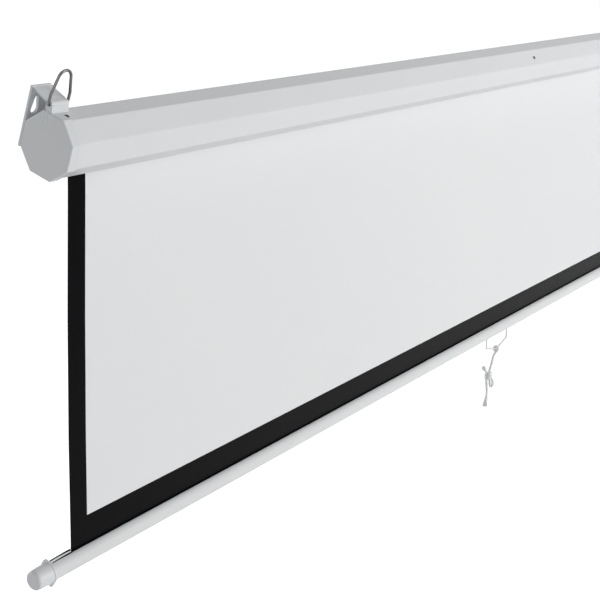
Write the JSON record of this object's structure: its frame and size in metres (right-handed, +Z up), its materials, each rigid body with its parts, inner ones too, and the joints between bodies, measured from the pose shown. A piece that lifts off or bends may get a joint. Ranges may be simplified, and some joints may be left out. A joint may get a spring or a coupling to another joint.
{
  "type": "projector screen",
  "caption": "Pull-down projection screen: eight-sided wall case with hanging rings, white fabric on a spring roller, and a weight bar with a wire bail and pull cord.",
  "frame": {"origin": "midway between the tops of the two hanging rings, where the case hangs from its hooks", "axes": "+Z up, +X along the case to the viewer's right as seen from the front, +Y to the wall behind"},
  "size_m": [2.3914, 0.078, 0.7169],
  "materials": {
    "white_paint": "satin white",
    "white_plastic": "moulded, satin",
    "grey_plastic": "moulded",
    "screen_white": "matt coated cloth",
    "cord_white": "twisted cord",
    "chrome": "bright",
    "steel": "drawn",
    "zinc": "zinc plated",
    "aluminium": "extruded"
  },
  "bodies": {
    "case": {"case_shell": "white_paint", "end_cap_left": "white_plastic", "end_cap_right": "white_plastic", "cap_screw_left": "zinc", "cap_screw_right": "zinc", "centre_screw": "zinc", "centre_clip": "zinc", "spindle": "steel", "ratchet_disc": "steel", "torsion_spring": "steel", "idler_bush": "grey_plastic"},
    "roller": {"roller_tube": "aluminium", "roller_spline": "grey_plastic", "fabric_roll": "screen_white", "roller_plug_left": "grey_plastic", "roller_plug_right": "grey_plastic", "idler_pin": "steel", "spring_plug": "grey_plastic"},
    "pawl_upper": {"pawl_1": "steel"},
    "pawl_lower": {"pawl_2": "steel"},
    "ring_left": {"hanging_ring_left": "chrome"},
    "ring_right": {"hanging_ring_right": "chrome"},
    "weight_bar": {"weight_tube": "white_paint", "hem_rod": "white_plastic", "bar_cap_left": "white_plastic", "bar_cap_right": "white_plastic", "fabric": "screen_white"},
    "bail": {"bail_handle": "white_paint", "cord_hitch": "cord_white", "pull_cord": "cord_white", "cord_knot": "cord_white", "cord_tail": "cord_white"}
  },
  "joints": [
    {"name": "screen_pull", "type": "slide", "parent": "case", "child": "weight_bar", "axis": [0, 0, -1], "range_m": [-0.443, 0.84], "deforming": ["fabric"]},
    {"name": "roller_turn", "type": "hinge", "parent": "case", "child": "roller", "pos_m": [0, 0.01589, -0.07859], "axis": [1, 0, 0], "range_deg": [-2700, 1415]},
    {"name": "pawl_upper_pivot", "type": "hinge", "parent": "roller", "child": "pawl_upper", "pos_m": [-1.1708, 0.01589, -0.06609], "axis": [1, 0, 0], "range_deg": [-20, 0]},
    {"name": "pawl_lower_pivot", "type": "hinge", "parent": "roller", "child": "pawl_lower", "pos_m": [-1.1708, 0.01589, -0.09109], "axis": [1, 0, 0], "range_deg": [-20, 0]},
    {"name": "ring_left_pivot", "type": "hinge", "parent": "case", "child": "ring_left", "pos_m": [-1.1722, 0.01249, -0.03547], "axis": [1, 0, 0], "range_deg": [-14, 80]},
    {"name": "ring_right_pivot", "type": "hinge", "parent": "case", "child": "ring_right", "pos_m": [1.1722, 0.01249, -0.03547], "axis": [1, 0, 0], "range_deg": [-14, 80]},
    {"name": "bail_swing", "type": "hinge", "parent": "weight_bar", "child": "bail", "pos_m": [0, 0.03451, -0.57429], "axis": [1, 0, 0], "range_deg": [-28, 28]}
  ],
  "couplings": [
    {"joint": "roller_turn", "follows": "screen_pull", "rad_per_m": -55.2}
  ]
}
